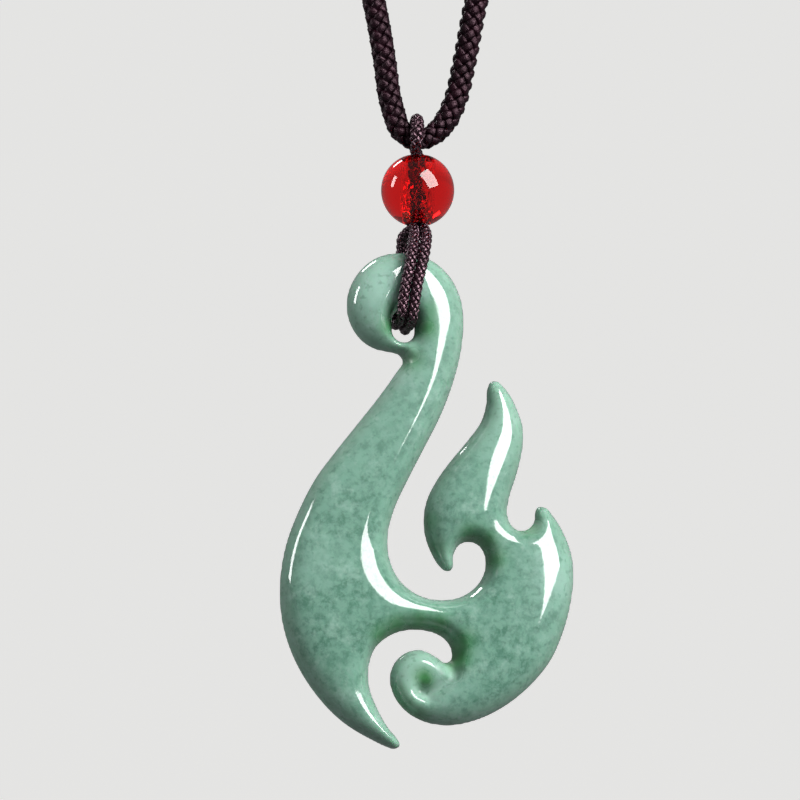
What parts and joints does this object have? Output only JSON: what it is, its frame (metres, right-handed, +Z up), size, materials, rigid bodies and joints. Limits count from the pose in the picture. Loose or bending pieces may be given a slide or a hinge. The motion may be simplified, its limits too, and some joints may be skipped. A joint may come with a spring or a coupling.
{
  "type": "jade spiral pendant necklace",
  "caption": "Carved jade hook-and-spiral pendant hanging from a glass bead and a braided neck cord, shown as worn.",
  "frame": {"origin": "middle of the neck cord behind the neck, where it bears on the nape", "axes": "+Z up, -Y towards the wearer's front and the viewer, +X to the viewer's right; the pendant hangs in front and below with its face towards -Y"},
  "size_m": [0.1262, 0.1321, 0.271],
  "materials": {
    "jade": "polished translucent grey-green jade with cloudy mottling",
    "red_glass": "polished clear red glass",
    "thread_nylon": "finely braided dark purple nylon with pink flecks",
    "cord_nylon": "braided dark purple nylon with pink flecks"
  },
  "bodies": {
    "necklace": {"neck_cord": "cord_nylon", "back_knot": "cord_nylon", "thread": "thread_nylon", "glass_bead": "red_glass"},
    "stone": {"jade_pendant": "jade"}
  },
  "joints": [
    {"name": "stone_swing", "type": "hinge", "parent": "necklace", "child": "stone", "pos_m": [-0.0019, -0.125, -0.23], "axis": [0, 1, 0], "range_deg": [-25, 25]}
  ]
}
